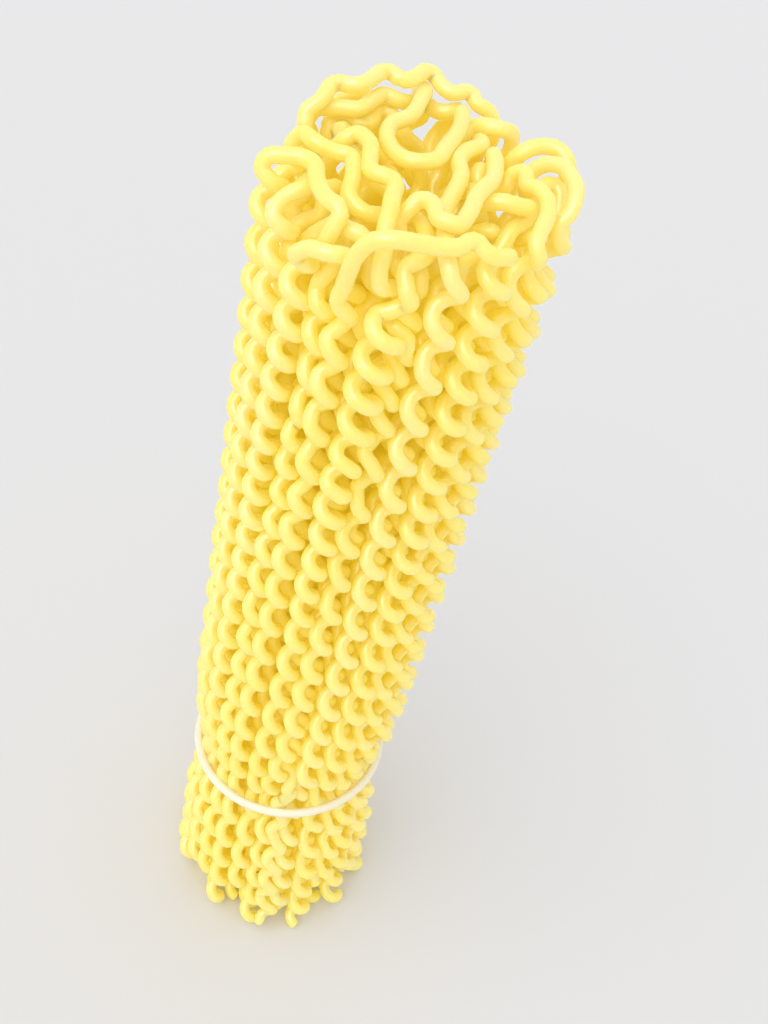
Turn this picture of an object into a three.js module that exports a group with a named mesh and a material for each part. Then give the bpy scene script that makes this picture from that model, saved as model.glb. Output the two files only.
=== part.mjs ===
// A sheaf of long corkscrew pasta, each strand a hollow tube hung over a rod
// to dry, so that it bends over at the top and both its legs reach the foot.
// The sheaf stands on its cut ends, and a thin elastic band ties it near them.
//
// Two solids: the sheaf, out to its uneven outline, and the band round it.
// Millimetres, +Z up. The origin is on the table, under the middle of the crown.

import * as THREE from 'three';

// The sheaf as a whole.
const HEIGHT = 218; // from the foot to the outside of the highest bends
const SHOULDER = 196; // where the upright legs start to bend over
const FOOT_RADIUS = 24.7; // from the axis to the outermost strand, just above the foot
const FLARE = 2.5; // how much wider the loose shoulder is
const WAIST = 3.4; // how far the band draws the legs in
const WAIST_REACH = 14; // height over which that waist fades away
const SPLAY = 1.7; // how much wider the cut ends stand on the table
const SPLAY_REACH = 6; // height over which that splay fades away
const DRIFT = 1.4; // how far to the right of the crown's middle the cut ends stand
const CROWN_SQUARENESS = 4.5; // 2 is an elliptical crown, more is a squarer one

// The strands that make the outline.
const LEGS = 17; // legs side by side round the outside
const STRAND = 2.7; // thickness of one strand
const COIL = 1.9; // radius of the corkscrew, at the strand's centre line
const PITCH = 9.6; // length of one turn of the corkscrew
const CROWN_ROOM = 1.4; // over the crown, strands start to crowd at this fraction of the way in
const VALLEY = 2.6; // how far the groove between two legs goes in
const UNEVEN_PLACE = 0.8; // how far a leg stands back from its ring
const UNEVEN_TURN = 0.7; // how far a leg's turns run ahead or behind, in radians

// The elastic band.
const BAND_HEIGHT = 53.2; // from the foot to the band
const BAND_RADIUS = 21.8; // of the band's centre line
const BAND_THICKNESS = 2;
const BAND_SLOPE = 0.08; // radians by which it rises to the right
const BAND_GAP = 0.3; // clearance that keeps the two solids apart

// How finely the surfaces are cut into facets.
const FACETS_PER_TURN = 4;
const CROWN_RINGS = 9;
const BAND_STEPS = 48;
const BAND_SIDES = 6;

const FULL_TURN = 2 * Math.PI;
const QUARTER_TURN = Math.PI / 2;

// A steady, uneven value between -1 and 1 for each leg.
function uneven(leg, kind) {
  return Math.sin(leg * 2.4 + kind * 1.7) * Math.cos(leg * 1.1 - kind);
}

// Radius of the sheaf, to its outermost strands: flared to the top, drawn in at the band
// and splayed at the foot.
function envelope(height) {
  const flare = FLARE * (height / SHOULDER) ** 2;
  const waist = WAIST * Math.exp(-(((height - BAND_HEIGHT) / WAIST_REACH) ** 2));
  const splay = SPLAY * Math.exp(-((height / SPLAY_REACH) ** 2));
  return FOOT_RADIUS + flare - waist + splay;
}

// The line that the legs follow, seen from the side: up to the shoulder, then over to the middle.
// Gives the radius and height there, the outward direction, and how much room a leg has.
function legLine(over, height) {
  const full = envelope(height) - COIL - STRAND / 2;
  const across = Math.cos(over) ** CROWN_SQUARENESS;
  const up = Math.sin(over) ** CROWN_SQUARENESS;
  const corner = (across + up) ** (1 / CROWN_SQUARENESS);
  const radius = (full * Math.cos(over)) / corner;
  const rise = ((HEIGHT - STRAND - SHOULDER) * Math.sin(over)) / corner;
  const bend = Math.atan2(up / Math.sin(over || 1), across / Math.cos(over));
  return { radius, height: height + rise, bend, room: Math.min(1, (radius / full) * CROWN_ROOM) };
}

// A point of one leg's section: its corkscrew turns left-handed as it rises.
// Out and side place the point from the strand's centre, outwards and round the sheaf.
function legPoint(leg, line, length, out, side) {
  const azimuth = (leg / LEGS) * FULL_TURN;
  const turn = -(length / PITCH) * FULL_TURN + UNEVEN_TURN * uneven(leg, 2) - azimuth;
  const outward = line.room * (COIL * Math.cos(turn) + out) - UNEVEN_PLACE * Math.abs(uneven(leg, 1));
  const sideways = line.room * (COIL * Math.sin(turn) + side);
  const radius = line.radius + outward * Math.cos(line.bend);
  const drift = DRIFT * Math.max(0, 1 - line.height / BAND_HEIGHT);
  return new THREE.Vector3(
    drift + radius * Math.cos(azimuth) - sideways * Math.sin(azimuth),
    radius * Math.sin(azimuth) + sideways * Math.cos(azimuth),
    line.height + outward * Math.sin(line.bend),
  );
}

// The groove between two legs, pulled in from the middle of the facing flanks.
function groove(flank, nextFlank, line) {
  const middle = flank.clone().lerp(nextFlank, 0.5);
  const depth = VALLEY * line.room;
  const inward = depth / Math.hypot(middle.x, middle.y);
  middle.x *= 1 - inward * Math.cos(line.bend);
  middle.y *= 1 - inward * Math.cos(line.bend);
  middle.z -= depth * Math.sin(line.bend);
  return middle;
}

// One ring round the sheaf: two flanks of every leg, and the groove to the next one.
function ring(line, length) {
  const flankOut = (STRAND / 2) * 0.9;
  const flankSide = (STRAND / 2) * 0.6;
  const points = [];
  for (let leg = 0; leg < LEGS; leg += 1) {
    const near = legPoint(leg, line, length, flankOut, -flankSide);
    const far = legPoint(leg, line, length, flankOut, flankSide);
    const next = legPoint(leg + 1, line, length, flankOut, -flankSide);
    points.push(near, far, groove(far, next, line));
  }
  return points;
}

// Keeps a ring clear of the band, where the band lies round it.
function clearOfBand(points, height) {
  const limit = BAND_RADIUS - BAND_THICKNESS / 2 - BAND_GAP;
  const reach = BAND_THICKNESS + BAND_RADIUS * BAND_SLOPE + PITCH / FACETS_PER_TURN;
  if (Math.abs(height - BAND_HEIGHT) > reach) return points;
  return points.map((point) => {
    const radius = Math.hypot(point.x, point.y);
    return radius > limit ? point.multiply(new THREE.Vector3(limit / radius, limit / radius, 1)) : point;
  });
}

// Closes a stack of rings between a lowest and a highest point, faces outwards.
function closedStack(lowest, rings, highest) {
  const columns = rings[0].length;
  const points = [lowest, ...rings.flat(), highest];
  const at = (row, column) => 1 + row * columns + (column % columns);
  const faces = [];
  for (let column = 0; column < columns; column += 1) {
    faces.push(0, at(0, column + 1), at(0, column));
    for (let row = 0; row < rings.length - 1; row += 1) {
      faces.push(at(row, column), at(row, column + 1), at(row + 1, column + 1));
      faces.push(at(row, column), at(row + 1, column + 1), at(row + 1, column));
    }
    faces.push(points.length - 1, at(rings.length - 1, column), at(rings.length - 1, column + 1));
  }
  const geometry = new THREE.BufferGeometry().setFromPoints(points);
  geometry.setIndex(faces);
  geometry.computeVertexNormals();
  return geometry;
}

// The sheaf: a flat foot, a side of corkscrew legs, and a crown where they bend over.
function makeSheaf() {
  const rows = Math.round((SHOULDER / PITCH) * FACETS_PER_TURN);
  const rings = [];
  for (let row = 0; row <= rows; row += 1) {
    const height = (row / rows) * SHOULDER;
    rings.push(clearOfBand(ring(legLine(0, height), height), height));
  }
  for (let step = 1; step < CROWN_RINGS; step += 1) {
    const over = (step / CROWN_RINGS) * QUARTER_TURN;
    rings.push(ring(legLine(over, SHOULDER), SHOULDER + (step * PITCH) / FACETS_PER_TURN));
  }
  const foot = new THREE.Vector3(0, 0, 0);
  const peak = new THREE.Vector3(0, 0, HEIGHT - STRAND / 2);
  const material = new THREE.MeshStandardMaterial({ color: 0xfce97a, roughness: 0.55, metalness: 0 });
  const mesh = new THREE.Mesh(closedStack(foot, rings, peak), material);
  mesh.name = 'fusilli_bundle';
  return mesh;
}

// The band: a round cord closed into a ring that is almost level.
function makeBand() {
  const geometry = new THREE.TorusGeometry(BAND_RADIUS, BAND_THICKNESS / 2, BAND_SIDES, BAND_STEPS);
  const material = new THREE.MeshStandardMaterial({ color: 0xfdfbe6, roughness: 0.6, metalness: 0 });
  const mesh = new THREE.Mesh(geometry, material);
  mesh.name = 'tie_band';
  mesh.position.z = BAND_HEIGHT;
  mesh.rotation.y = -BAND_SLOPE;
  return mesh;
}

const sheaf = new THREE.Group();
sheaf.add(makeSheaf(), makeBand());

export default sheaf;
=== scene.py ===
"""A standing bundle of long, hollow corkscrew pasta, tied near its foot.

Each strand dried folded over a rod, so it has two upright legs joined by a bend.
Layout sizes are in millimetres and degrees, and meshes are made in metres.
"""

import logging
import math
from dataclasses import dataclass, field
from enum import Enum
from itertools import product

import bpy
import numpy as np
from mathutils import Matrix, Vector


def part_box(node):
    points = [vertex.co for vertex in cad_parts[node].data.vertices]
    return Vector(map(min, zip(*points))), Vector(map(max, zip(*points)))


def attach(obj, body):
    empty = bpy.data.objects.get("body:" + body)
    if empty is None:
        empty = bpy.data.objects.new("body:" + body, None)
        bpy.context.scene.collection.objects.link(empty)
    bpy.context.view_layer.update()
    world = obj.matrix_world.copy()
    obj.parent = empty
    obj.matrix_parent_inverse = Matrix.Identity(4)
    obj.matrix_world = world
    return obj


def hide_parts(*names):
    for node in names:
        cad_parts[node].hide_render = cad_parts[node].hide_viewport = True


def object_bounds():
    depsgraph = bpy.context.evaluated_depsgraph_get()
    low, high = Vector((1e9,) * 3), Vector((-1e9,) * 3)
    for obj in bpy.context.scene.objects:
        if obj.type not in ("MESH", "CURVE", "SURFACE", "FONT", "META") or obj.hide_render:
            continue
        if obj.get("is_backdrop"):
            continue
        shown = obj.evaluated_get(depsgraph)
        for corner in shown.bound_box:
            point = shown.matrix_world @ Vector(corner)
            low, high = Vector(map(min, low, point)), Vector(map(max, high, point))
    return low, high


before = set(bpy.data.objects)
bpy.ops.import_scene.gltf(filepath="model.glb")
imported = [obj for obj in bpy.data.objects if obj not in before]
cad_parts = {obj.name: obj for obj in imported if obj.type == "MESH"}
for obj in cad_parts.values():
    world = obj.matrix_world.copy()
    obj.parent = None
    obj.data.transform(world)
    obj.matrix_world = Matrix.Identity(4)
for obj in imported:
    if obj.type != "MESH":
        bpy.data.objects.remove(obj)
CAD_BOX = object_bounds()

LOG = logging.getLogger("pasta_bundle")
MM = 0.001
FULL_TURN = 2.0 * math.pi
SEED = 11
SHADE = "shade"
LEAST_POINTS = 12
ASLANT = (0.3, 0.9, 0.1)
"""A direction that no strand starts along."""


# ---------------------------------------------------------------- strands


class Bunch(Enum):
    """The groups that the strands are joined into, one mesh each."""

    FRONT = "strands_front"
    LEFT = "strands_left"
    RIGHT = "strands_right"
    BACK = "strands_back"
    REAR = "strands_rear"
    INNER = "strands_inner"


Course = float | tuple[float, float, float]
"""A leg's value all along, or its values at the band and below, halfway up and at the shoulder."""


def three(value: Course) -> tuple[float, float, float]:
    """A course as its three values."""
    return value if isinstance(value, tuple) else (value,) * 3


@dataclass(frozen=True)
class Leg:
    """One upright half of a strand.

    Azimuths are degrees round the bundle, 0 in front and minus to the left. Rings are
    distances from the bundle's axis. A nub is a point where the corkscrew reaches its farthest
    right, and its height sets where the turns fall. Below the change height the corkscrew is
    drawn out from its pitch to its foot pitch.
    """

    azimuth: Course
    ring: Course = 22.7
    nub: float = 198.0
    pitch: float = 9.3
    foot_pitch: float = 9.8
    change: float = 120.0
    coil: Course = 1.9
    top: float = 201.0
    foot: float = 0.0


@dataclass(frozen=True)
class Strand:
    """A hollow strand: it rises in one leg, runs over through points of its own, falls in the other.

    A strand without a rising leg starts with a loose cut end at the first of its points.
    """

    bunch: Bunch
    rise: Leg | None
    fall: Leg
    over: tuple[tuple[float, float, float], ...]


@dataclass
class Line:
    """A strand's centre line, with its tone and how readily it gives way to others."""

    points: np.ndarray
    bunch: Bunch
    tone: float = 0.0
    yielding: float = 1.0


@dataclass
class Sheaf:
    """The bundle's overall form, and how a leg and a bend run inside it.

    The reaches are the heights over which a waist, a splay or a change of pitch fades. A leg's
    axis keeps its margin from the envelope, and its coil is drawn tighter by one common factor.
    """

    height: float
    band_height: float
    shoulder: float = 196.0
    middle: float = 120.0
    change_reach: float = 6.0
    foot_radius: float = 24.7
    flare: float = 1.5
    waist: float = 3.4
    waist_reach: float = 14.0
    margin: float = 3.3
    foot_lift: float = 1.2
    drift: float = 1.4
    splay: float = 1.7
    splay_reach: float = 6.0
    squeezed_pitch: float = 6.4
    squeezed_to: float = 9.0
    squeeze_reach: float = 1.5
    tightness: float = 0.94
    step: float = 0.5
    ladder: tuple[float, float, int] = (-20.0, 240.0, 1300)

    def envelope(self, height: np.ndarray) -> np.ndarray:
        """Radius out to the strands: a flare that grows as the square, less a bell-shaped waist.

        The feet splay by half a bell on the floor.

        Args:
            height: heights above the foot, in millimetres.

        Returns:
            The radius at each height.
        """
        flare = self.flare * (height / self.shoulder) ** 2
        waist = self.waist * np.exp(-(((height - self.band_height) / self.waist_reach) ** 2))
        splay = self.splay * np.exp(-((height / self.splay_reach) ** 2))
        return self.foot_radius + flare - waist + splay

    def middle_at(self, height: np.ndarray) -> np.ndarray:
        """How far right of the axis the bundle's middle stands, in proportion to depth below the band."""
        return self.drift * np.clip(1.0 - height / self.band_height, 0.0, 1.0)

    def course(self, value: Course, height: np.ndarray) -> np.ndarray:
        """A leg's value at each height, on straight lines between the three it is given at."""
        return np.interp(height, [self.band_height, self.middle, self.shoulder], three(value))

    def leg_axis(self, leg: Leg, height: np.ndarray) -> np.ndarray:
        """Axis of a leg's coil: its ring scales with the envelope, less the coil's own reach.

        Args:
            leg: the leg.
            height: heights above the foot.

        Returns:
            One point for each height.
        """
        azimuth = np.radians(self.course(leg.azimuth, height))
        full = self.envelope(np.array(self.shoulder)) - self.margin
        ring = self.course(leg.ring, height) * (self.envelope(height) - self.margin) / full
        right = ring * np.sin(azimuth) + self.middle_at(height)
        return np.stack([right, -ring * np.cos(azimuth), height], axis=-1)

    def leg_turn(self, leg: Leg, height: np.ndarray) -> np.ndarray:
        """World angle of a leg's left-handed coil: minus one turn for each pitch of height above the nub.

        The pitch goes from the foot's to the top's along an S-shaped curve round the change height, and
        along another from the squeezed one of the turns that stand on the floor. The turns are summed up
        rung by rung over a ladder of heights.

        Args:
            leg: the leg.
            height: heights above the foot.

        Returns:
            Angles from +X, in radians.
        """
        ladder = np.linspace(*self.ladder)
        upper = 1.0 / (1.0 + np.exp((leg.change - ladder) / self.change_reach))
        pitch = leg.foot_pitch + (leg.pitch - leg.foot_pitch) * upper
        squeezed = 1.0 / (1.0 + np.exp((ladder - self.squeezed_to) / self.squeeze_reach))
        pitch = pitch + (self.squeezed_pitch - pitch) * squeezed
        rungs = np.diff(ladder) * 0.5 * (1.0 / pitch[1:] + 1.0 / pitch[:-1])
        turns = np.concatenate([[0.0], np.cumsum(rungs)])
        return -FULL_TURN * (np.interp(height, ladder, turns) - np.interp(leg.nub, ladder, turns))

    def leg_line(self, leg: Leg) -> np.ndarray:
        """A leg from its foot to its top: its axis plus its coil's radius along the coil's angle.

        Args:
            leg: the leg.

        Returns:
            Its points.
        """
        height = np.arange(leg.foot + self.foot_lift, leg.top, self.step)
        turn = self.leg_turn(leg, height)
        coil = self.tightness * self.course(leg.coil, height)
        around = np.stack([np.cos(turn), np.sin(turn), np.zeros_like(turn)], axis=-1)
        return self.leg_axis(leg, height) + coil[:, None] * around

    def centre_line(self, strand: Strand) -> Line:
        """Joins a strand's legs by a smooth curve through the points that it runs over.

        Args:
            strand: the strand.

        Returns:
            Its centre line.
        """
        over = np.array(strand.over, float)
        fall = self.leg_line(strand.fall)[::-1]
        if strand.rise is None:
            rise, leave = over[:1], over[1] - over[0]
            over = over[1:]
        else:
            rise = self.leg_line(strand.rise)
            leave = rise[-1] - rise[-3]
        bend = smooth_curve(rise[-1], leave, over, fall[0], fall[2] - fall[0], self.step)
        return Line(np.vstack([rise, bend, fall]), strand.bunch)


def travel(points: np.ndarray) -> np.ndarray:
    """Distance along a line of points from the first to each."""
    return np.concatenate([[0.0], np.cumsum(np.linalg.norm(np.diff(points, axis=0), axis=1))])


def unit(vectors: np.ndarray) -> np.ndarray:
    """Vectors divided by their lengths."""
    return vectors / np.linalg.norm(vectors, axis=-1, keepdims=True)


def smooth_curve(
    start: np.ndarray,
    leave: np.ndarray,
    over: np.ndarray,
    end: np.ndarray,
    arrive: np.ndarray,
    step: float,
) -> np.ndarray:
    """A cubic curve through points, whose slope at each point is that of its two neighbours.

    Args:
        start: last point before the curve.
        leave: direction there.
        over: points that the curve passes.
        end: first point after the curve.
        arrive: direction there.
        step: rough spacing of the result.

    Returns:
        The points between start and end, both left out.
    """
    knots = np.vstack([start, over, end])
    spans = np.linalg.norm(np.diff(knots, axis=0), axis=1)
    place = travel(knots)
    slope = np.gradient(knots, place, axis=0)
    slope[0], slope[-1] = unit(leave), unit(arrive)
    at = np.linspace(0.0, place[-1], max(LEAST_POINTS, round(place[-1] / step)))[1:-1]
    span = np.clip(np.searchsorted(place, at, side="right") - 1, 0, len(spans) - 1)
    wide = spans[span][:, None]
    t = (at - place[span])[:, None] / wide
    return (
        (2 * t**3 - 3 * t**2 + 1) * knots[span]
        + (t**3 - 2 * t**2 + t) * wide * slope[span]
        + (3 * t**2 - 2 * t**3) * knots[span + 1]
        + (t**3 - t**2) * wide * slope[span + 1]
    )


def laid_strands() -> list[Strand]:
    """The strands that make the front, the sides and the top of the crown, listed one by one.

    Returns:
        The strands, front ones first.
    """
    front, left, right, back = Bunch.FRONT, Bunch.LEFT, Bunch.RIGHT, Bunch.BACK
    return [
        # The arch over the front rim.
        Strand(
            front,
            Leg((-27, -20, -15), nub=197.1, pitch=8.9, foot_pitch=9.7, coil=1.6, top=199.8),
            Leg((32, 40.5, 42.5), nub=197.5, pitch=7.1, foot_pitch=9.6, change=116, coil=2.1, top=208.2),
            (
                (-6, -23.5, 203.5), (-5, -24.5, 209.5), (-3, -25, 213), (0, -24.8, 214),
                (3, -23.5, 213.5), (7, -22, 213), (9.5, -21, 213.3), (11, -18.7, 214.5),
                (12, -19.7, 213.3), (13.5, -20, 212.5), (15.3, -19, 211.8), (16.6, -17, 211),
                (15.6, -15.2, 209.6),
            ),
        ),
        # Under the arch, back over the crown and down behind it.
        Strand(
            front,
            Leg((16.5, 23.3, 24.3), nub=195.7, pitch=9.25, foot_pitch=9.25, coil=1.8, top=206.2, foot=9),
            Leg(160, ring=18.5, nub=196, top=204),
            (
                (9, -22, 207.8), (8, -21, 209.2), (6.5, -18, 210.2), (5.5, -14, 210.4), (5.2, -10, 211.2),
                (6, -5.5, 212), (6.6, -1, 212.6), (5.7, 3, 212.8), (6.5, 6.5, 212.8), (8.5, 10, 212.3),
                (8, 15, 210.5),
            ),
        ),
        # The small turn in the arch's shadow.
        Strand(
            front,
            Leg(
                (-12, -5, 4), nub=195.6, pitch=7.1, foot_pitch=10.1, coil=(1.5, 1.5, 2.75), top=202.9,
                foot=11,
            ),
            Leg(-35, ring=7.5, nub=196, top=202),
            (
                (2.2, -22, 204), (1.2, -20.8, 205.4), (2.2, -19.8, 206.8), (4.2, -19, 207.8),
                (5, -16.5, 208.6), (3.5, -12, 209), (0, -8, 208),
            ),
        ),
        # The long wave that comes down through the middle and goes in under the arch.
        Strand(
            front,
            Leg(-104, ring=14, top=203),
            Leg(
                (0, 8, 10), ring=(22.7, 22.7, 18.5), nub=145.5, pitch=9.7, coil=1.6,
                top=198.9,
            ),
            (
                (-13.5, 2.5, 209), (-13, 1.5, 211.5), (-11, 2.2, 213.3), (-8.7, 0.5, 213.5),
                (-7.5, -3.5, 213), (-6.5, -7.2, 213), (-2.7, -8.5, 213), (-1.4, -12, 212.4),
                (-1.9, -16.5, 211.2), (-2, -19, 209), (-2.2, -20.3, 206), (-0.8, -21.3, 203.5),
                (0.2, -19.5, 201),
            ),
        ),
        # The loop beside it, which runs back along the right.
        Strand(
            front,
            Leg(6, ring=13.3, nub=200, coil=2.0, top=204),
            Leg(146, ring=15.5, nub=197, coil=2.1, top=206),
            (
                (-0.7, -14, 208.5), (-1.2, -13.2, 211.5), (1.3, -11.5, 213.3), (3.5, -13, 213.5),
                (5.2, -15.8, 212.6), (8, -15.7, 212.5), (9.2, -13.2, 213.3), (9.8, -8.5, 214),
                (11.3, -3.5, 213.8), (11.5, 2.5, 213), (10.5, 9, 212),
            ),
        ),
        # The right side's front, which curls over and down.
        Strand(
            right,
            Leg(112, ring=13.5, nub=199, top=203),
            Leg((46, 55, 59), nub=199, foot_pitch=9.5, top=208.6, foot=13),
            (
                (13.5, 3, 210), (14.3, 4.2, 212.3), (16, 3.8, 213.4), (17, 0.6, 212.8),
                (18.5, -0.5, 213.6), (20.3, -2.3, 213.2), (21, -5.5, 212.4), (20.5, -8.7, 211.6),
                (20.2, -11.3, 210.6),
            ),
        ),
        Strand(
            right,
            Leg(112, ring=18.5, nub=196, top=206),
            Leg((74, 83, 86), ring=(22.7, 22.7, 23.4), nub=205.5, pitch=8.6, top=205, foot=6),
            (
                (17.5, 8.2, 210), (19.3, 8.8, 212.6), (21.5, 7.6, 213.9), (23.6, 4.6, 214.2),
                (24.7, 1.2, 213.7), (24.6, -1.2, 211.6), (23.4, -2.8, 209.6), (24.3, -3.3, 207.3),
            ),
        ),
        # The columns on either side of it.
        Strand(
            right,
            Leg(80, ring=18.2, top=203),
            Leg((60, 70, 73), nub=199, pitch=9, top=205, foot=1),
            ((19.5, -4, 207), (21, -5.2, 208), (22.3, -5.5, 206.5)),
        ),
        # Across to the right, then down in the second layer.
        Strand(
            right,
            Leg(130, ring=9, nub=199, top=203),
            Leg((48, 56, 60), ring=(18.5, 18.5, 19), nub=199, pitch=9.2, top=203.5),
            (
                (9, 0, 209.5), (10.3, -4.5, 211), (13, -5.5, 212.6), (16.5, -4.8, 212.3),
                (19, -2.3, 210.8), (17.8, -3.3, 209.2), (15.6, -6.3, 208), (15, -8.5, 206),
            ),
        ),
        # Up the left edge, over to the right and down again.
        Strand(
            left,
            Leg(
                (-78, -73, -66), ring=(22.7, 22.7, 23.1), nub=193.6, pitch=7.2, foot_pitch=9.3,
                top=210.8,
            ),
            Leg((-38, -33, -31), ring=17.6, nub=196, top=202.5),
            (
                (-22, -9.8, 212.8), (-20, -9.5, 213.2), (-17.5, -9, 213.5), (-15.2, -9.8, 213.5),
                (-13.7, -13.5, 213), (-11.5, -17, 212.8), (-8.8, -18.6, 212.3), (-9.2, -19.6, 210.5),
                (-10.2, -19.8, 207),
            ),
        ),
        # Behind it, to a turn in the middle.
        Strand(
            left,
            Leg(-92, ring=20.5, nub=197, top=206),
            Leg(-28, ring=12.8, top=204),
            (
                (-20.3, -1, 210.5), (-18.8, -1, 212.8), (-16.3, -3, 213), (-13.5, -3, 212.3),
                (-10.8, -3, 212.3), (-9.2, -7, 211.8), (-8.7, -11, 210), (-5.8, -12.3, 209),
                (-3.6, -11, 208.4), (-3.6, -9.3, 206.8),
            ),
        ),
        # The left shoulder's low arc.
        Strand(
            left,
            Leg((-51, -44, -35), nub=195, pitch=6.7, foot_pitch=9.3, coil=2.0, top=203.8, foot=7),
            Leg(-17, ring=17, nub=197, top=200),
            (
                (-13.3, -21.6, 205.6), (-11.3, -22.2, 207.4), (-8.5, -22.8, 208), (-6, -21.8, 207.8),
                (-4.5, -19, 205.5),
            ),
        ),
        Strand(
            left,
            Leg(
                (-38, -31.5, -23.5), ring=(22.7, 22.3, 21), nub=193.6, pitch=7.1, foot_pitch=9.6,
                change=138, coil=1.8, top=198.2, foot=10,
            ),
            Leg(-8, ring=10, nub=196, top=199),
            ((-9.5, -18.4, 200.4), (-7.5, -17.8, 202), (-5.5, -16.3, 203.2), (-3, -13, 203.5)),
        ),
        # A short piece that shows between them.
        Strand(
            left,
            Leg(-48, ring=16.5, nub=197, top=201),
            Leg(-3, ring=17.6, nub=199, top=202),
            (
                (-10.8, -14, 206), (-9.4, -16.4, 208.2), (-7.3, -18.8, 209), (-4.6, -20.2, 208.8),
                (-2.6, -19.6, 206),
            ),
        ),
        Strand(
            left,
            Leg(
                (-64, -58, -50), ring=(22.7, 22.7, 23.2), nub=197, pitch=7.3, foot_pitch=9.5,
                top=207,
            ),
            Leg(-70, ring=17, nub=199, top=203),
            ((-18, -13.5, 209), (-16, -12, 210), (-14.8, -8.5, 209.5), (-15.5, -6.5, 207)),
        ),
        # The back rim, whose turns stand up as cusps.
        Strand(
            back,
            Leg(-104, ring=20.5, top=206),
            Leg(160, top=207),
            (
                (-19.4, 4.5, 210.5), (-19.6, 6, 212.6), (-18, 7.5, 213.8), (-17.2, 11.5, 214.8),
                (-17.4, 14.6, 215.2), (-15.4, 12, 215.4), (-12.8, 12.7, 216), (-10.5, 17.2, 216.4),
                (-9.2, 19, 216.4), (-7.2, 17.3, 215.8), (-4.3, 20, 215.6), (-2.8, 25, 215.8),
                (-1.2, 21.8, 215), (1.3, 20.5, 214.5), (4.6, 23, 214.5), (5.8, 21.4, 213.6),
                (8, 21.6, 212.8),
            ),
        ),
        Strand(
            back,
            Leg(-118, ring=22.3, top=205),
            Leg(176, ring=22.4, nub=199, top=205),
            (
                (-19.8, 8.4, 210.5), (-19, 8.9, 212), (-17.6, 9.1, 212.9), (-14.3, 10.1, 212.4),
                (-12.6, 10.3, 212.8), (-10.2, 14.3, 213.7), (-9, 16.6, 213.8), (-7, 16.7, 213.5),
                (-5.3, 18.3, 213), (-4.2, 21.2, 212.4), (-2.3, 22.6, 211.6), (-0.6, 20.7, 211.5),
                (1.3, 20, 212), (2.9, 21.6, 211.8),
            ),
        ),
        # The loose end that hooks over the middle from the back rim.
        Strand(
            back,
            None,
            Leg(-170, ring=22.5, nub=199, top=207),
            (
                (4, 17.5, 213.6), (4.4, 12.5, 213.6), (3.3, 5, 213.6), (1.5, -0.8, 213.6),
                (-1.5, -1.8, 213.4), (-4.5, 1, 212.6), (-6.2, 4, 212.8), (-6.3, 7.5, 213.6),
                (-4.3, 9.8, 214), (-3.4, 15, 214), (-3.6, 20, 213.6), (-3.9, 22.8, 212),
            ),
        ),
        # A wave of the second layer, and a low bend under the back rim.
        Strand(
            back,
            Leg(-127, ring=12.5, nub=197, top=204),
            Leg(-177, ring=16.5, top=204),
            (
                (-14.6, 9.4, 207.8), (-16.2, 9.3, 209), (-15.3, 10.4, 210), (-13.3, 10.4, 209.8),
                (-11.7, 9.5, 209.8), (-10.4, 11.6, 210.2), (-9.9, 14.6, 210.6), (-8.6, 16.2, 210.8),
                (-7, 15.4, 210.6), (-5.5, 14, 209.8), (-4, 14, 208.5),
            ),
        ),
        Strand(
            back,
            Leg(-129, ring=22.5, nub=197, top=206.5),
            Leg(-148, ring=22.6, nub=199, top=206.5),
            (
                (-17.2, 14.6, 209.8), (-15.6, 15.6, 211.3), (-14, 16.9, 211.8), (-12.6, 18.8, 211.2),
                (-12, 19.4, 209),
            ),
        ),
        Strand(
            back,
            Leg(162, ring=13, nub=197, top=203),
            Leg(146, nub=199, top=206),
            (
                (4.8, 15, 209.5), (6.8, 16.8, 212), (9, 16, 213), (11, 16, 213), (12.7, 17.8, 212),
                (13.2, 19, 209.5),
            ),
        ),
        Strand(
            back,
            Leg(128, ring=17.5, nub=197, top=205),
            Leg(116, ring=23.3, nub=199, top=206),
            (
                (13.8, 11.2, 210), (15.4, 11.6, 212.6), (18.4, 13.2, 213.6), (20.7, 13.3, 213.6),
                (22.6, 12.2, 212.6), (23.2, 11.2, 209.5),
            ),
        ),
        Strand(
            back,
            Leg(95, ring=18, nub=197, top=204),
            Leg((90, 98, 102), ring=(22.7, 22.7, 23.5), nub=204, pitch=8.7, coil=2.0, top=206),
            (
                (18.4, 4.6, 208), (19.4, 7.2, 210.2), (20.8, 8.6, 210.6), (22.4, 7.2, 209.6),
                (23, 5.6, 207.5),
            ),
        ),
    ]


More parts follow.
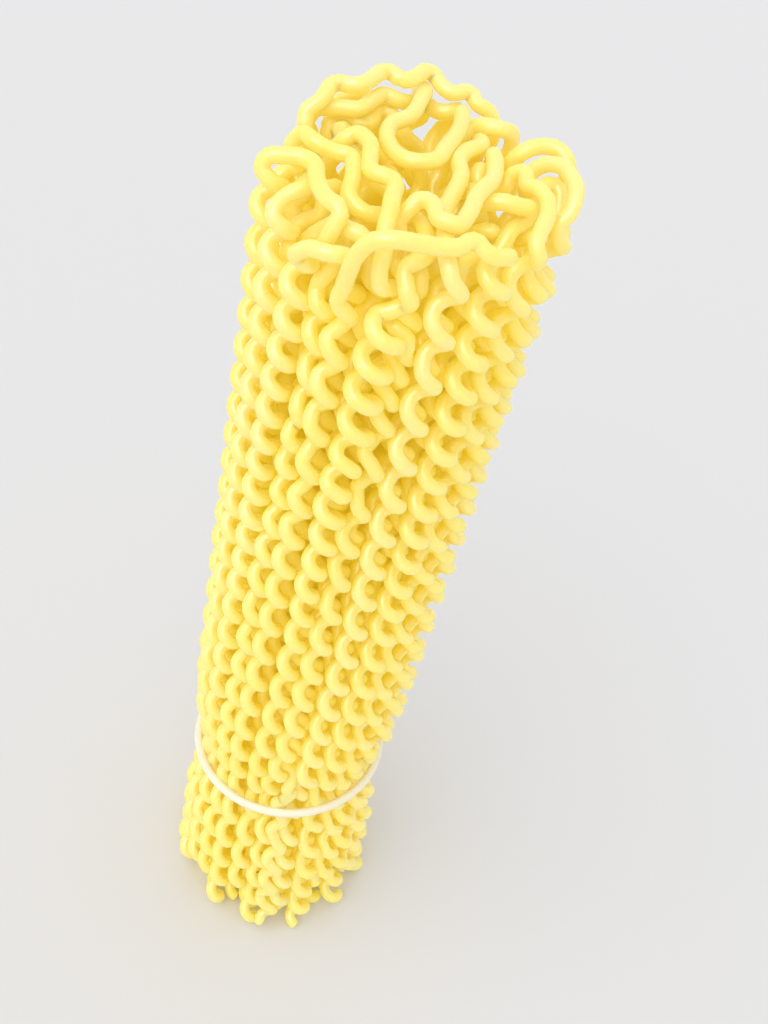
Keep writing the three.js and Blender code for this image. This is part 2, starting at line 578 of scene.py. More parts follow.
@dataclass
class Filling:
    """The strands that fill what the listed ones leave free.

    A strand nests inside an outer leg where it finds room there, and the others keep the gap
    from each other. No strand stands nearer to the axis than the core.
    """

    sheaf: Sheaf
    reach: float = 22.9
    core: float = 3.2
    gap: float = 4.2
    mesh: float = 0.5
    lowest_bend: float = 205.0
    highest_bend: float = 210.0
    back_lift: float = 1.5
    back_from: float = 3.0
    outer: float = 20.0
    nested: float = 3.7
    nested_room: float = 3.2
    nub_spread: float = 0.4
    coils: tuple[float, float] = (1.7, 2.0)
    bend_rise: float = 4.5
    uneven_foot: float = 5.0
    sway: float = 1.0

    def places(self, taken: np.ndarray) -> list[np.ndarray]:
        """Free places: those straight inside an outer leg, whose turns they share, where there is room.

        The rest are found one after another, each as far as can be from every other leg.

        Args:
            taken: places of the laid legs halfway up, one row each.

        Returns:
            The free places.
        """
        line = np.arange(-self.reach, self.reach + self.mesh, self.mesh)
        grid = np.stack(np.meshgrid(line, line), axis=-1).reshape(-1, 2)
        radius = np.linalg.norm(grid, axis=1)
        grid = grid[(radius < self.reach) & (radius > self.core)]
        found = []
        for leg in taken[np.linalg.norm(taken, axis=1) > self.outer]:
            place = leg * (1.0 - self.nested / np.linalg.norm(leg))
            if np.linalg.norm(np.vstack([taken, *found]) - place, axis=1).min() > self.nested_room:
                found.append(place)
        clear = np.linalg.norm(grid[:, None] - np.vstack([taken, *found])[None], axis=2).min(axis=1)
        while clear.max() > self.gap:
            found.append(grid[clear.argmax()])
            clear = np.minimum(clear, np.linalg.norm(grid - found[-1], axis=1))
        return found

    def strands(self, laid: list[Strand], rng: np.random.Generator) -> list[Strand]:
        """Pairs each free place with its nearest free neighbour and folds a strand between them.

        An odd place stays empty.

        Args:
            laid: the strands already laid.
            rng: source of the small differences between strands.

        Returns:
            The filling strands.
        """
        middle = np.array([self.sheaf.middle])
        legs = [leg for strand in laid for leg in (strand.rise, strand.fall) if leg]
        scale = (self.sheaf.envelope(self.sheaf.shoulder) - self.sheaf.margin) / (
            self.sheaf.envelope(self.sheaf.middle) - self.sheaf.margin
        )
        taken = np.vstack([self.sheaf.leg_axis(leg, middle)[:, :2] for leg in legs]) * scale
        free = [tuple(place) for place in self.places(taken)]
        free.sort(key=lambda place: -math.hypot(*place))
        result = []
        while len(free) > 1:
            here = free.pop(0)
            there = min(free, key=lambda place: math.dist(here, place))
            free.remove(there)
            nearest = [int(np.linalg.norm(taken - place, axis=1).argmin()) for place in (here, there)]
            result.append(self.fold((here, there), [legs[leg] for leg in nearest], rng))
        return result

    def fold(self, ends: tuple[tuple, tuple], beside: list[Leg], rng: np.random.Generator) -> Strand:
        """One strand between two places, whose legs nest in those beside them, turn in turn.

        Args:
            ends: the two places.
            beside: the laid leg nearest to each.
            rng: source of the small differences.

        Returns:
            The strand.
        """
        middle = np.mean(ends, axis=0)
        at_back = bool(middle[1] > self.back_from)
        crest = rng.uniform(self.lowest_bend, self.highest_bend) + self.back_lift * at_back
        legs = []
        for (x, y), near in zip(ends, beside):
            courses = three(near.azimuth)
            aside = math.degrees(math.atan2(x, -y)) - courses[1]
            legs.append(
                Leg(
                    azimuth=tuple(azimuth + aside for azimuth in courses),
                    ring=math.hypot(x, y),
                    nub=near.nub + rng.normal(0.0, self.nub_spread),
                    pitch=near.pitch,
                    foot_pitch=near.foot_pitch,
                    change=near.change,
                    coil=rng.uniform(*self.coils),
                    top=crest - self.bend_rise,
                    foot=rng.uniform(0.0, self.uneven_foot),
                )
            )
        side = rng.uniform(-self.sway, self.sway, 2)
        over = ((middle[0] + side[0], middle[1] + side[1], crest),)
        return Strand(Bunch.REAR if at_back else Bunch.INNER, legs[0], legs[1], over)


# ------------------------------------------------------------- settling

CELL_SHIFT = 64
CELL_STRIDE = np.array([1 << 20, 1 << 10, 1])
"""A cell of space is known by one number: its three places, each moved above zero, times these."""


@dataclass
class Settling:
    """Pushes strands that overlap apart, round by round, until little of the overlap is left.

    It also keeps them inside the bundle's envelope, and so inside the band.
    Part of each push moves only the places that touch, and part is spread along the strand, so
    that a coil moves as a whole.
    """

    thickness: float
    sheaf: Sheaf
    rounds: int = 40
    firmness: float = 0.45
    own_reach: int = 7
    local_share: float = 0.35
    wide_share: float = 2.2
    wide_reach: int = 9
    tightest: float = 1.7
    easing: float = 0.5
    bend_reach: int = 2
    crown_room: float = 1.6
    crown_from: float = 170.0
    crown_to: float = 205.0
    least_gap: float = 1e-6
    least_stand_off: float = 1e-9

    def pairs(self, points: np.ndarray) -> tuple[np.ndarray, np.ndarray]:
        """All pairs of points closer than a strand's thickness, found cell by cell.

        Args:
            points: one row each.

        Returns:
            The first and the second index of each pair, the first the lower one.
        """
        cell = np.floor(points / self.thickness).astype(np.int64) + CELL_SHIFT
        key = cell @ CELL_STRIDE
        order = np.argsort(key, kind="stable")
        ordered = key[order]
        firsts, seconds = [], []
        for offset in np.array(list(product((-1, 0, 1), repeat=3))) @ CELL_STRIDE:
            low = np.searchsorted(ordered, key + offset, side="left")
            count = np.searchsorted(ordered, key + offset, side="right") - low
            first = np.repeat(np.arange(len(points)), count)
            within = np.arange(len(first)) - np.repeat(np.cumsum(count) - count, count)
            second = order[np.repeat(low, count) + within]
            keep = first < second
            firsts.append(first[keep])
            seconds.append(second[keep])
        first, second = np.concatenate(firsts), np.concatenate(seconds)
        near = np.linalg.norm(points[first] - points[second], axis=1) < self.thickness
        return first[near], second[near]

    def run(self, lines: list[Line]) -> None:
        """Settles the lines in place.

        Args:
            lines: the strands' centre lines, evenly spaced.
        """
        owner = np.concatenate([np.full(len(line.points), n) for n, line in enumerate(lines)])
        place = np.concatenate([np.arange(len(line.points)) for line in lines])
        yielding = np.concatenate([np.full(len(line.points), line.yielding) for line in lines])
        points = np.vstack([line.points for line in lines])
        for _ in range(self.rounds):
            first, second = self.pairs(points)
            apart = (owner[first] != owner[second]) | (abs(place[first] - place[second]) > self.own_reach)
            first, second = first[apart], second[apart]
            gap = points[first] - points[second]
            length = np.linalg.norm(gap, axis=1, keepdims=True) + self.least_gap
            push = self.firmness * (self.thickness - length) * gap / length
            share = (yielding[first] / (yielding[first] + yielding[second]))[:, None] * 2.0
            move = np.zeros_like(points)
            np.add.at(move, first, push * share)
            np.add.at(move, second, -push * (2.0 - share))
            local = spread(move, owner, 1)
            wide = spread(spread(move, owner, self.wide_reach), owner, self.wide_reach)
            points = points + self.local_share * local + self.wide_share * wide
            points = self.contain(self.ease_bends(points, owner))
        for n, line in enumerate(lines):
            line.points = points[owner == n]
        deep = float((self.thickness - length).mean())
        LOG.info("settled %d points, %d contacts, %.2f mm deep on average", len(points), len(first), deep)

    def ease_bends(self, points: np.ndarray, owner: np.ndarray) -> np.ndarray:
        """Rounds off bends that are tighter than a strand can take.

        A point on an arc stands off the chord between two others by the square of their distance
        along the line over twice the arc's radius, so a greater stand-off is a tighter bend.

        Args:
            points: one row each.
            owner: which line each belongs to.

        Returns:
            The points, with the tight bends partly eased.
        """
        reach = self.bend_reach
        before, after = np.roll(points, reach, axis=0), np.roll(points, -reach, axis=0)
        inner = (np.roll(owner, reach) == owner) & (np.roll(owner, -reach) == owner)
        offset = (before + after) / 2.0 - points
        chord = np.linalg.norm(after - before, axis=1) / 2.0
        stand_off = np.linalg.norm(offset, axis=1) + self.least_stand_off
        allowed = (chord**2 + stand_off**2) / (2.0 * self.tightest)
        share = np.where(inner, self.easing * np.clip(1.0 - allowed / stand_off, 0.0, 1.0), 0.0)
        return points + share[:, None] * offset

    def contain(self, points: np.ndarray) -> np.ndarray:
        """Draws points that stand out of the envelope back to it, less tightly in the crown.

        Points that have sunk below the foot are lifted to it.

        Args:
            points: one row each.

        Returns:
            The points, none outside or below.
        """
        middle = np.column_stack([self.sheaf.middle_at(points[:, 2]), np.zeros(len(points))])
        radius = np.linalg.norm(points[:, :2] - middle, axis=1)
        limit = self.sheaf.envelope(np.minimum(points[:, 2], self.sheaf.height)) - self.thickness / 2
        limit = limit + np.interp(points[:, 2], [self.crown_from, self.crown_to], [0.0, self.crown_room])
        scale = np.minimum(1.0, limit / np.maximum(radius, self.least_gap))
        inside = points.copy()
        inside[:, :2] = middle + (points[:, :2] - middle) * scale[:, None]
        inside[:, 2] = np.maximum(inside[:, 2], self.sheaf.foot_lift)
        return inside


def spread(rows: np.ndarray, owner: np.ndarray, reach: int) -> np.ndarray:
    """Each row averaged with those up to a reach before and after it that have the same owner.

    Args:
        rows: one row for each point.
        owner: which line each row belongs to, in rising order.
        reach: how many rows to each side.

    Returns:
        The averaged rows.
    """
    here = np.arange(len(rows))
    low = np.maximum(here - reach, np.searchsorted(owner, owner, side="left"))
    high = np.minimum(here + reach + 1, np.searchsorted(owner, owner, side="right"))
    total = np.vstack([np.zeros((1, rows.shape[1])), np.cumsum(rows, axis=0)])
    return (total[high] - total[low]) / (high - low)[:, None]


def respace(line: Line, step: float) -> Line:
    """The same line with its points a step apart.

    Args:
        line: the line.
        step: spacing along it.

    Returns:
        The new line.
    """
    place = travel(line.points)
    at = np.linspace(0.0, place[-1], max(LEAST_POINTS, round(place[-1] / step)))
    points = np.stack([np.interp(at, place, line.points[:, k]) for k in range(3)], axis=-1)
    return Line(points, line.bunch, line.tone, line.yielding)


# ---------------------------------------------------------------- meshes


@dataclass
class MeshParts:
    """Vertices, faces and colours of one mesh, gathered piece by piece."""

    vertices: list[np.ndarray] = field(default_factory=list)
    loops: list[np.ndarray] = field(default_factory=list)
    sizes: list[np.ndarray] = field(default_factory=list)
    smooth: list[np.ndarray] = field(default_factory=list)
    shades: list[np.ndarray] = field(default_factory=list)
    count: int = 0

    def add_grid(
        self, rings: np.ndarray, shade: np.ndarray, flat_rows: tuple[int, ...] = (), closed: bool = False
    ) -> None:
        """Adds a stack of rings, capped at both ends, or closed like a band.

        Args:
            rings: places in metres, rows of rings by sides by three.
            shade: one colour for each place, rings by sides by four.
            flat_rows: rows of faces that aren't smooth, counted from the first ring.
            closed: whether the last ring joins the first.
        """
        rows, sides = rings.shape[:2]
        index = np.arange(rows * sides).reshape(rows, sides) + self.count
        turned, ahead = np.roll(index, -1, axis=1), np.roll(index, -1, axis=0)
        quads = np.stack([index, turned, np.roll(turned, -1, axis=0), ahead], axis=-1)
        quads = quads if closed else quads[:-1]
        smooth = np.ones(quads.shape[:2], bool)
        smooth[list(flat_rows)] = False
        self.vertices.append(rings.reshape(-1, 3))
        self.loops.append(quads.ravel())
        self.sizes.append(np.full(smooth.size, 4))
        self.smooth.append(smooth.ravel())
        if not closed:
            self.loops += [index[0][::-1], index[-1]]
            self.sizes.append(np.array([sides, sides]))
            self.smooth.append(np.array([False, False]))
        self.shades.append(shade.reshape(-1, 4))
        self.count += rows * sides

    def build(self, name: str, material: bpy.types.Material) -> bpy.types.Object:
        """Makes the object.

        Args:
            name: its name.
            material: its finish.

        Returns:
            The new object, linked to the scene.
        """
        vertices, loops = np.vstack(self.vertices), np.concatenate(self.loops)
        sizes, smooth = np.concatenate(self.sizes), np.concatenate(self.smooth)
        mesh = bpy.data.meshes.new(name)
        mesh.vertices.add(len(vertices))
        mesh.vertices.foreach_set("co", vertices.astype(np.float32).ravel())
        mesh.loops.add(len(loops))
        mesh.loops.foreach_set("vertex_index", loops.astype(np.int32))
        mesh.polygons.add(len(sizes))
        mesh.polygons.foreach_set("loop_start", (np.cumsum(sizes) - sizes).astype(np.int32))
        mesh.update(calc_edges=True)
        mesh.polygons.foreach_set("use_smooth", smooth)
        shade = mesh.attributes.new(SHADE, "FLOAT_COLOR", "POINT")
        shade.data.foreach_set("color", np.vstack(self.shades).astype(np.float32).ravel())
        mesh.update()
        mesh.materials.append(material)
        piece = bpy.data.objects.new(name, mesh)
        bpy.context.scene.collection.objects.link(piece)
        LOG.info("%s: %d triangles", name, int((sizes - 2).sum()))
        return piece


@dataclass
class Skin:
    """Wraps each centre line in a hollow strand with flat cut ends, open to a short bore.

    A ring is the line's point plus its radius times (the cosine of the side's angle along a
    direction square to the line plus the sine along the direction square to both).
    """

    thickness: float
    bore: float = 1.0
    bore_rings: int = 6
    bore_step: float = 2.0
    sides: int = 12
    lip: float = 0.16
    unevenness: float = 0.035
    waver_spacing: int = 24
    gloom_reach: float = 40.0

    def ring_plan(self, count: int) -> tuple[np.ndarray, np.ndarray]:
        """Place along the line, in points, and radius of each ring, from bore to bore.

        Args:
            count: how many points the line has.

        Returns:
            The places and the radii.
        """
        radius, inner = self.thickness / 2.0, self.bore / 2.0
        bore = np.arange(self.bore_rings, -1, -1) * self.bore_step
        start = np.concatenate([bore, [0.0, self.lip]])
        end = count - 1 - start[::-1]
        places = np.concatenate([start, np.arange(1, count - 1), end])
        rim = np.concatenate([np.full(len(bore), inner), [radius - self.lip, radius]])
        return places, np.concatenate([rim, np.full(count - 2, radius), rim[::-1]])

    def wrap(self, line: Line, sheaf: Sheaf, parts: MeshParts, rng: np.random.Generator) -> None:
        """Adds one strand to the mesh.

        Its colours say its tone, how deep inside the bundle each place lies, and how far below the top.

        Args:
            line: its centre line.
            sheaf: the bundle's form, for how deep inside each place lies.
            parts: the mesh that it joins.
            rng: source of its slightly uneven thickness.
        """
        points = line.points
        along = unit(np.gradient(points, axis=0))
        first = carried_sides(along)
        second = np.cross(along, first)
        knots = waver(len(points), self.waver_spacing, rng)
        swell = np.interp(np.arange(len(points)), *knots) * self.unevenness + 1.0
        places, radii = self.ring_plan(len(points))
        radii = radii * sample(swell[:, None], places)[:, 0]
        angle = np.linspace(0.0, FULL_TURN, self.sides, endpoint=False)[None, :, None]
        middle, first, second = (sample(rows, places)[:, None] for rows in (points, first, second))
        rings = middle + radii[:, None, None] * (np.cos(angle) * first + np.sin(angle) * second)
        height = rings[..., 2]
        # Depth inside the bundle and distance below the top, which the finish turns into painted shade
        # and painted glow.
        depth = 1.0 - np.linalg.norm(rings[..., :2], axis=-1) / sheaf.envelope(height)
        below = np.clip((sheaf.height - height) / self.gloom_reach, 0.0, 1.0)
        tone, full = np.full_like(height, line.tone), np.ones_like(height)
        shade = np.stack([tone, np.clip(depth, 0.0, 1.0), below, full], axis=-1)
        parts.add_grid(rings * MM, shade, (self.bore_rings, len(places) - 2 - self.bore_rings))


def carried_sides(along: np.ndarray) -> np.ndarray:
    """A direction square to a line at each of its points, carried along it without twisting.

    Each is the one before, less its part along the line there, brought back to length one.

    Args:
        along: the line's direction at each point.

    Returns:
        The directions.
    """
    side = unit(np.cross(along[0], ASLANT))
    sides = []
    for ahead in along:
        side = side - (side @ ahead) * ahead
        side = side / math.sqrt(side @ side)
        sides.append(side)
    return np.array(sides)


def sample(rows: np.ndarray, places: np.ndarray) -> np.ndarray:
    """Rows read between their indices, each column along a straight line.

    Args:
        rows: one row for each whole index.
        places: indices, which may lie between two rows.

    Returns:
        One row for each place.
    """
    low = np.clip(np.floor(places).astype(int), 0, len(rows) - 2)
    part = (places - low)[:, None]
    return rows[low] * (1.0 - part) + rows[low + 1] * part


def waver(count: int, spacing: int, rng: np.random.Generator) -> tuple[np.ndarray, np.ndarray]:
    """Places and heights of the knots of a slow random waver between minus one and one."""
    places = np.arange(0, count + 2 * spacing, spacing)
    return places, rng.uniform(-1.0, 1.0, len(places))


# ------------------------------------------------------------- materials


@dataclass(frozen=True)
class Value:
    """A number that changes over a surface: one socket, with the usual operators."""

    bench: "Bench"
    socket: bpy.types.NodeSocket

    def __add__(self, other: "Value | float") -> "Value":
        """Sum."""
        return self.bench.maths("ADD", self, other)

    def __radd__(self, other: float) -> "Value":
        """Sum."""
        return self.bench.maths("ADD", other, self)

    def __sub__(self, other: "Value | float") -> "Value":
        """Difference."""
        return self.bench.maths("SUBTRACT", self, other)

    def __rsub__(self, other: float) -> "Value":
        """Difference."""
        return self.bench.maths("SUBTRACT", other, self)

    def __mul__(self, other: "Value | float") -> "Value":
        """Product."""
        return self.bench.maths("MULTIPLY", self, other)

    def __rmul__(self, other: float) -> "Value":
        """Product."""
        return self.bench.maths("MULTIPLY", other, self)

    def clamp(self) -> "Value":
        """The number kept between zero and one."""
        return self.bench.maths("ADD", self, 0.0, clamp=True)


@dataclass
class Bench:
    """The nodes of one material, with one way to add each kind."""

    material: bpy.types.Material

    @classmethod
    def start(cls, name: str) -> "Bench":
        """A bench on a new, empty material.

        Args:
            name: the material's name.

        Returns:
            The bench.
        """
        material = bpy.data.materials.new(name)
        material.use_nodes = True
        material.node_tree.nodes.clear()
        return cls(material)

    def node(
        self, kind: str, settings: dict | None = None, sockets: dict | None = None
    ) -> bpy.types.Node:
        """Adds a node.

        Args:
            kind: its type, without the common beginning.
            settings: its properties, set first.
            sockets: values or links of its inputs, by name or number.

        Returns:
            The node.
        """
        node = self.material.node_tree.nodes.new("ShaderNode" + kind)
        for key, value in (settings or {}).items():
            setattr(node, key, value)
        for key, value in (sockets or {}).items():
            if isinstance(value, Value):
                value = value.socket
            if isinstance(value, bpy.types.NodeSocket):
                self.material.node_tree.links.new(value, node.inputs[key])
            else:
                node.inputs[key].default_value = value
        return node

    def maths(
        self, operation: str, first: Value | float, second: Value | float, clamp: bool = False
    ) -> Value:
        """Adds a Math node and returns its result."""
        settings = {"operation": operation, "use_clamp": clamp}
        return Value(self, self.node("Math", settings, {0: first, 1: second}).outputs[0])

    def mix(self, factor: Value, low: object, high: object) -> bpy.types.NodeSocket:
        """Mixes two colours, or their sockets, with so much of the second as the factor says."""
        return self.node("Mix", {"data_type": "RGBA"}, {0: factor, 6: low, 7: high}).outputs[2]

    def relief(self, height: Value, strength: float, distance: float) -> bpy.types.NodeSocket:
        """A normal bent by the slope of a height."""
        sockets = {"Strength": strength, "Distance": distance, "Height": height}
        return self.node("Bump", None, sockets).outputs[0]

    def noise(self, place: bpy.types.NodeSocket, scale: float, detail: float = 2.0) -> Value:
        """Noise between zero and one, with its grain one part in scale of a metre."""
        sockets = {"Vector": place, "Scale": scale, "Detail": detail}
        return Value(self, self.node("TexNoise", None, sockets).outputs[0])

    def finish(self, sockets: dict) -> bpy.types.Material:
        """Adds the surface shader and the output.

        Args:
            sockets: values or links of the shader's inputs, by name.

        Returns:
            The finished material.
        """
        shader = self.node("BsdfPrincipled", None, sockets)
        self.node("OutputMaterial", None, {"Surface": shader.outputs[0]})
        return self.material


Colour = tuple[float, float, float, float]


def rgba(red: float, green: float, blue: float) -> Colour:
    """A linear colour as a socket takes it."""
    return (red, green, blue, 1.0)


@dataclass(frozen=True)
class PastaFinish:
    """Dried durum dough: pale yellow, a little glassy, with a painted shade of deeper, darker gold where
    it lies inside the bundle.

    A painted glow over the whole surface, stronger in the bundle's hollows, stands for light that has
    passed through other strands.
    """

    pale: Colour = rgba(0.95, 0.775, 0.335)
    rich: Colour = rgba(0.95, 0.765, 0.185)
    # Painted shade: a deeper, darker gold for places inside the bundle, standing for the saturated shade
    # between strands.
    deep: Colour = rgba(0.92, 0.725, 0.055)
    # Painted glow colour for places outside the hollows, which lifts their shade towards gold.
    painted_glow_outside_hollows: Colour = rgba(0.29, 0.25, 0.02)
    glow: Colour = rgba(0.52, 0.465, 0.018)
    glow_strength: float = 0.34
    speck: Colour = rgba(1.0, 0.93, 0.56)
    grain_scale: float = 900.0
    grain_detail: float = 3.0
    cloud_scale: float = 90.0
    tone_share: float = 0.5
    cloud_share: float = 0.7
    richness_from: float = 0.25
    crevice_shade_from: float = 0.08
    crevice_shade_gain: float = 2.4
    speck_from: float = 0.58
    speck_gain: float = 1.6
    hollow_from: float = 0.03
    hollow_gain: float = 6.0
    crown_gain: float = 4.0
    crown_from: float = 1.1
    foot_loss: float = 0.66
    depth_loss: float = 1.6
    depth_from: float = 1.3
    roughness: float = 0.42
    roughness_spread: float = 0.2
    refraction: float = 1.48
    scatter: float = 1.0
    scatter_colour: tuple[float, float, float] = (1.0, 0.75, 0.25)
    scatter_reach: float = 0.003
    relief: float = 0.12
    relief_depth: float = 0.0003

    def hollow(self, depth: Value, below: Value) -> Value:
        """How much light the dough around passes on to a place.

        It rises with depth just under the outside and with distance below the crown, and falls
        again towards the foot and the bundle's middle.

        Args:
            depth: how deep inside the bundle the place lies.
            below: how far below the crown it lies.

        Returns:
            The share, from none to one.
        """
        rising = ((depth - self.hollow_from) * self.hollow_gain).clamp()
        rising = rising * (below * self.crown_gain - self.crown_from).clamp()
        falling = (self.depth_from - depth * self.depth_loss).clamp()
        return rising * (1.0 - below * self.foot_loss) * falling

    def material(self) -> bpy.types.Material:
        """Sets up the finish.

        Returns:
            It as a material.
        """
        bench = Bench.start("durum_dough")
        place = bench.node("TexCoord").outputs["Object"]
        shade = bench.node("Attribute", {"attribute_name": SHADE}).outputs["Color"]
        parts = bench.node("SeparateColor", None, {"Color": shade})
        tone, depth, below = (Value(bench, parts.outputs[n]) for n in range(3))
        grain = bench.noise(place, self.grain_scale, self.grain_detail)
        cloud = bench.noise(place, self.cloud_scale)
        richness = (tone * self.tone_share + cloud * self.cloud_share - self.richness_from).clamp()
        # Painted shade mask: stronger deeper inside the bundle and farther below the crown.
        inside = ((depth - self.crevice_shade_from) * self.crevice_shade_gain * below).clamp()
        speck = ((grain - self.speck_from) * self.speck_gain).clamp()
        colour = bench.mix(richness, self.pale, self.rich)
        colour = bench.mix(inside, colour, self.deep)
        return bench.finish(
            {
                "Base Color": bench.mix(speck, colour, self.speck),
                "Roughness": self.roughness + (grain - 0.5) * self.roughness_spread,
                "Normal": bench.relief(grain, self.relief, self.relief_depth),
                "IOR": self.refraction,
                # Painted glow: fainter over the whole surface, stronger in the hollows.
                "Emission Color": bench.mix(self.hollow(depth, below), self.painted_glow_outside_hollows, self.glow),
                "Emission Strength": self.glow_strength,
                "Subsurface Weight": self.scatter,
                "Subsurface Radius": self.scatter_colour,
                "Subsurface Scale": self.scatter_reach,
            }
        )


@dataclass(frozen=True)
class BandFinish:
    """Cream elastic, matt, with faint lengthwise ribs."""

    cream: Colour = rgba(0.94, 0.885, 0.66)
    dust: Colour = rgba(0.95, 0.915, 0.78)
    cloud_scale: float = 160.0
    rib_scale: float = 2600.0
    rib_stretch: tuple[float, float, float] = (0.15, 0.15, 1.0)
    roughness: float = 0.6
    roughness_spread: float = 0.2
    scatter: float = 0.15
    scatter_reach: float = 0.001
    relief: float = 0.25
    relief_depth: float = 0.0002

    def material(self) -> bpy.types.Material:
        """Sets up the finish.

        Returns:
            It as a material.
        """
        bench = Bench.start("cream_elastic")
        place = bench.node("TexCoord").outputs["Object"]
        cloud = bench.noise(place, self.cloud_scale)
        stretched = bench.node("Mapping", None, {"Vector": place, "Scale": self.rib_stretch}).outputs[0]
        rib = bench.noise(stretched, self.rib_scale)
        return bench.finish(
            {
                "Base Color": bench.mix(cloud, self.cream, self.dust),
                "Roughness": self.roughness + (cloud - 0.5) * self.roughness_spread,
                "Normal": bench.relief(rib, self.relief, self.relief_depth),
                "Subsurface Weight": self.scatter,
                "Subsurface Scale": self.scatter_reach,
            }
        )


@dataclass(frozen=True)
class FloorFinish:
    """Plain pale floor."""

    grey: Colour = rgba(0.725, 0.725, 0.735)
    roughness: float = 0.9

    def material(self) -> bpy.types.Material:
        """The finish as a material."""
        return Bench.start("pale_floor").finish({"Base Color": self.grey, "Roughness": self.roughness})


# ---------------------------------------------------------- sub-assemblies


@dataclass
class PastaBundle:
    """All the strands, wound, settled against each other and given their skins."""

    sheaf: Sheaf
    skin: Skin
    finish: PastaFinish
    point_step: float = 0.8
    tone_spread: float = 1.0
    laid_yielding: float = 0.3
    pressed: float = 0.1
    lines: list[Line] = field(default_factory=list)

    def lay(self, rng: np.random.Generator) -> None:
        """Winds and settles every strand.

        Args:
            rng: source of the small differences between strands.
        """
        laid = laid_strands()
        strands = laid + Filling(self.sheaf).strands(laid, rng)
        self.lines = [respace(self.sheaf.centre_line(strand), self.point_step) for strand in strands]
        for line in self.lines:
            line.tone = float(rng.uniform(0.0, self.tone_spread))
        for line in self.lines[: len(laid)]:
            line.yielding = self.laid_yielding
        Settling(self.skin.thickness - self.pressed, self.sheaf).run(self.lines)
        LOG.info("%d strands, %.1f m of them", len(strands), self.length() * MM)

    def length(self) -> float:
        """Length of all the strands together, in millimetres."""
        return float(sum(travel(line.points)[-1] for line in self.lines))

    def build(self, rng: np.random.Generator) -> list[bpy.types.Object]:
        """Makes one mesh for each bunch.

        Args:
            rng: source of uneven thickness.

        Returns:
            The pieces.
        """
        material = self.finish.material()
        pieces = []
        for bunch in Bunch:
            parts = MeshParts()
            for line in self.lines:
                if line.bunch is bunch:
                    self.skin.wrap(line, self.sheaf, parts, rng)
            pieces.append(parts.build(bunch.value, material))
        return pieces


@dataclass
class Core:
    """A slim fluted core that fills the bundle's middle, out of sight below the bends."""

    finish: bpy.types.Material
    radius: float = 1.7
    low: float = 4.0
    high: float = 182.0
    rings: int = 60
    sides: int = 16
    ripple: float = 0.25
    ripple_pitch: float = 9.6
    flutes: float = 3.0
    end_sharpness: int = 40
    end_share: float = 0.02
    # Full depth inside the bundle, so the core takes the painted shade's deep gold.
    shade: Colour = (0.5, 1.0, 1.0, 1.0)

    def build(self) -> bpy.types.Object:
        """Makes the core: its radius plus a slow sine of height and angle, rounded off at the ends.

        Returns:
            The piece.
        """
        up = np.linspace(0.0, 1.0, self.rings)[:, None]
        angle = np.linspace(0.0, FULL_TURN, self.sides, endpoint=False)[None, :]
        height = self.low + (self.high - self.low) * up + 0.0 * angle
        end = np.sqrt(np.clip(1.0 - (2.0 * up - 1.0) ** self.end_sharpness, 0.0, 1.0))
        end = end * (1.0 - self.end_share) + self.end_share
        wave = self.ripple * np.sin(FULL_TURN * height / self.ripple_pitch + self.flutes * angle)
        radius = (self.radius + wave) * end
        rings = np.stack([radius * np.cos(angle), radius * np.sin(angle), height], axis=-1) * MM
        parts = MeshParts()
        parts.add_grid(rings, np.ones(rings.shape[:2] + (4,)) * self.shade)
        return parts.build("core", self.finish)


@dataclass
class TieBand:
    """The elastic round the bundle."""

    finish: BandFinish
    height: float
    thickness: float = 2.0
    rings: int = 240
    sides: int = 16
    reach: float = 2.0
    bite: float = 0.6
    slope: float = 0.08

    def ring(self, lines: list[Line], strand_thickness: float) -> float:
        """Radius of the band's centre line: it holds the strands near its height and bites in a little.

        Args:
            lines: the settled strands.
            strand_thickness: their thickness.

        Returns:
            The radius.
        """
        points = np.vstack([line.points for line in lines])
        near = points[np.abs(points[:, 2] - self.height) < self.reach]
        held = float(np.linalg.norm(near[:, :2], axis=1).max())
        return held + (strand_thickness + self.thickness) / 2.0 - self.bite

    def build(self, lines: list[Line], strand_thickness: float) -> bpy.types.Object:
        """Makes the band: a round section carried round the bundle, rising a little to the right.

        Args:
            lines: the settled strands.
            strand_thickness: their thickness.

        Returns:
            The piece.
        """
        around = np.linspace(0.0, FULL_TURN, self.rings, endpoint=False)
        outward = np.stack([np.cos(around), np.sin(around), np.zeros(self.rings)], axis=-1)
        centre = self.ring(lines, strand_thickness) * outward
        centre[:, 2] = self.height + self.slope * centre[:, 0]
        angle = np.linspace(0.0, FULL_TURN, self.sides, endpoint=False)[None, :, None]
        side = np.cos(angle) * outward[:, None] + np.sin(angle) * np.array([0.0, 0.0, 1.0])
        rings = centre[:, None] + self.thickness / 2.0 * side
        parts = MeshParts()
        parts.add_grid(rings[:, ::-1] * MM, np.ones(rings.shape[:2] + (4,)), closed=True)
        return parts.build("tie", self.finish.material())


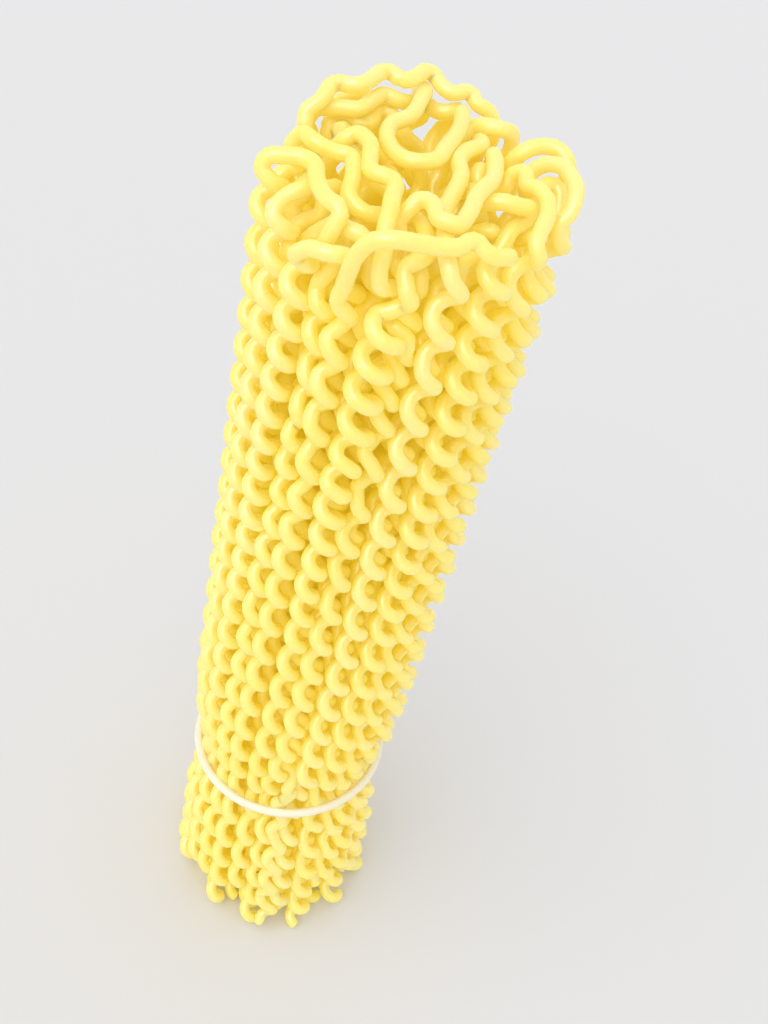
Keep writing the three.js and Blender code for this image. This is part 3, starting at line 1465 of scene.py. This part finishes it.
@dataclass
class Studio:
    """Floor, lights and camera."""

    floor_size: float = 6.0
    camera_place: tuple[float, float, float] = (0.0084, -0.1778, 0.3138)
    depression: float = 45.0
    roll: float = 14.83
    lens: float = 44.5
    key_strength: float = 0.84
    key_spread: float = 60.0
    glint_strength: float = 4.6
    glint_spread: float = 30.0
    fill_strength: float = 0.86
    key_toward: tuple[float, float, float] = (-0.35, -0.5, 1.0)
    glint_toward: tuple[float, float, float] = (-0.25, -0.55, 0.8)

    def lay_floor(self) -> None:
        """Makes the floor under the foot."""
        half = self.floor_size / 2.0
        mesh = bpy.data.meshes.new("floor")
        corners = [(-half, -half, 0), (half, -half, 0), (half, half, 0), (-half, half, 0)]
        mesh.from_pydata(corners, [], [(0, 1, 2, 3)])
        mesh.materials.append(FloorFinish().material())
        floor = bpy.data.objects.new("floor", mesh)
        bpy.context.scene.collection.objects.link(floor)
        floor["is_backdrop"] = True

    def light(self) -> None:
        """A broad soft key from the upper left, a lamp that shows only as glints, an even surround."""
        for name, strength, spread_angle, toward in (
            ("key", self.key_strength, self.key_spread, self.key_toward),
            ("glint", self.glint_strength, self.glint_spread, self.glint_toward),
        ):
            light = bpy.data.lights.new(name, "SUN")
            light.energy = strength
            light.angle = math.radians(spread_angle)
            lamp = bpy.data.objects.new(name, light)
            lamp.rotation_euler = Vector(toward).to_track_quat("Z", "Y").to_euler()
            lamp.visible_diffuse = name == "key"
            bpy.context.scene.collection.objects.link(lamp)
        world = bpy.data.worlds.new("surround")
        world.use_nodes = True
        sky = world.node_tree.nodes["Background"]
        sky.inputs[0].default_value = rgba(1.0, 1.0, 1.0)
        sky.inputs[1].default_value = self.fill_strength
        bpy.context.scene.world = world

    def aim_camera(self) -> None:
        """Looks down on the crown from the front, turned a little about the line of sight."""
        camera = bpy.data.cameras.new("camera")
        camera.lens = self.lens
        eye = bpy.data.objects.new("camera", camera)
        down, turn = math.radians(self.depression), math.radians(self.roll)
        level = Vector((1.0, 0.0, 0.0))
        rise = Vector((0.0, math.sin(down), math.cos(down)))
        right = math.cos(turn) * level + math.sin(turn) * rise
        up = math.cos(turn) * rise - math.sin(turn) * level
        axes = Matrix((right, up, right.cross(up))).transposed()
        eye.matrix_world = Matrix.Translation(self.camera_place) @ axes.to_4x4()
        bpy.context.scene.collection.objects.link(eye)
        bpy.context.scene.camera = eye


def main() -> None:
    """Builds the bundle, its band and the studio, in order."""
    logging.basicConfig(level=logging.INFO, format="%(message)s")
    bpy.context.scene.view_settings.view_transform = "Standard"
    studio = Studio()
    studio.lay_floor()
    studio.light()
    studio.aim_camera()

    band_low, band_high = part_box("tie_band")
    sheaf = Sheaf(height=CAD_BOX[1].z / MM, band_height=(band_low.z + band_high.z) / 2.0 / MM)
    rng = np.random.default_rng(SEED)
    bundle = PastaBundle(sheaf, Skin(thickness=2.7), PastaFinish())
    bundle.lay(rng)
    pieces = bundle.build(rng)
    pieces.append(Core(pieces[0].data.materials[0]).build())
    for piece in pieces:
        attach(piece, "root")
        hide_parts("fusilli_bundle")
    tie = TieBand(BandFinish(), sheaf.band_height).build(bundle.lines, bundle.skin.thickness)
    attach(tie, "root")
    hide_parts("tie_band")

    ends = {"cad": CAD_BOX, "visual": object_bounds()}
    boxes = {name: [list(corner) for corner in box] for name, box in ends.items()}


if __name__ == "__main__":
    main()
